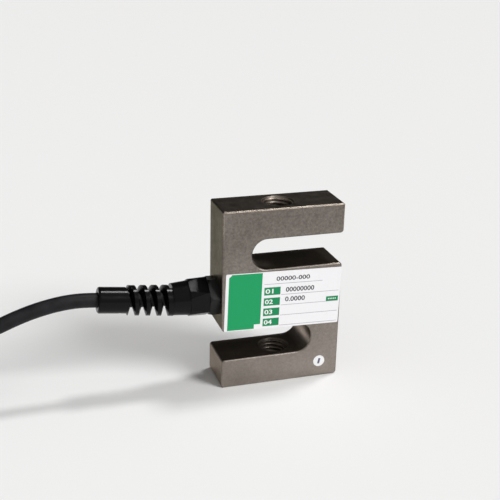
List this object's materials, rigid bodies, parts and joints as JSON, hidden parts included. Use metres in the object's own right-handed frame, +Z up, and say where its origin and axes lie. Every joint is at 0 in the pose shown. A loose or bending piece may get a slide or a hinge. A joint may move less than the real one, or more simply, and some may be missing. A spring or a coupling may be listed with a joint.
{
  "type": "s type load cell",
  "caption": "S-shaped steel force sensor block with threaded load holes, a spiral cable gland and a folded signal cable with bare cores.",
  "frame": {"origin": "centre of the lower arm's bottom face, on the load axis", "axes": "+Z up along the load axis, +X along the arms away from the cable gland, -Y out of the labelled front"},
  "size_m": [0.2789, 0.0535, 0.0762],
  "materials": {
    "plated_steel": "satin nickel plating on machined alloy steel",
    "cover_steel": "thin stainless sealing disc",
    "label_film": "printed polyester label, white and green",
    "sticker_film": "round white sticker",
    "gauge_foil": "polyimide film with etched foil grid",
    "board_laminate": "solder-masked glass-epoxy board",
    "chip_ceramic": "chip resistor",
    "insulation_red": "red core insulation",
    "insulation_black": "black core insulation",
    "insulation_green": "green core insulation",
    "insulation_white": "white core insulation",
    "potting_silicone": "cured silicone sealing compound",
    "gland_nylon": "dark grey moulded nylon",
    "black_rubber": "nitrile gasket",
    "nut_nylon": "glossy black moulded nylon",
    "cable_jacket": "black PVC jacket",
    "tie_nylon": "black nylon cable tie",
    "insulation_shield": "yellow sleeve over the screen's drain wire"
  },
  "bodies": {
    "root": {"s_body": "plated_steel", "front_cover_plate": "cover_steel", "rear_cover_plate": "cover_steel", "nameplate_label": "label_film", "inspection_sticker": "sticker_film", "front_strain_gauge_left": "gauge_foil", "front_strain_gauge_right": "gauge_foil", "rear_strain_gauge_left": "gauge_foil", "rear_strain_gauge_right": "gauge_foil", "terminal_board": "board_laminate", "zero_trim_resistor": "chip_ceramic", "span_trim_resistor": "chip_ceramic", "inner_core_red": "insulation_red", "inner_core_black": "insulation_black", "inner_core_green": "insulation_green", "inner_core_white": "insulation_white", "front_potting": "potting_silicone", "rear_potting": "potting_silicone", "gland_body": "gland_nylon", "gland_gasket": "black_rubber", "gland_seal": "black_rubber", "gland_nut_spiral": "nut_nylon", "cable": "cable_jacket", "cable_hank": "cable_jacket", "cable_free_end": "cable_jacket", "hank_tie_1": "tie_nylon", "hank_tie_2": "tie_nylon", "hank_tie_3": "tie_nylon", "free_core_red": "insulation_red", "free_core_black": "insulation_black", "free_core_shield": "insulation_shield", "free_core_green": "insulation_green", "free_core_white": "insulation_white"}
  },
  "joints": []
}
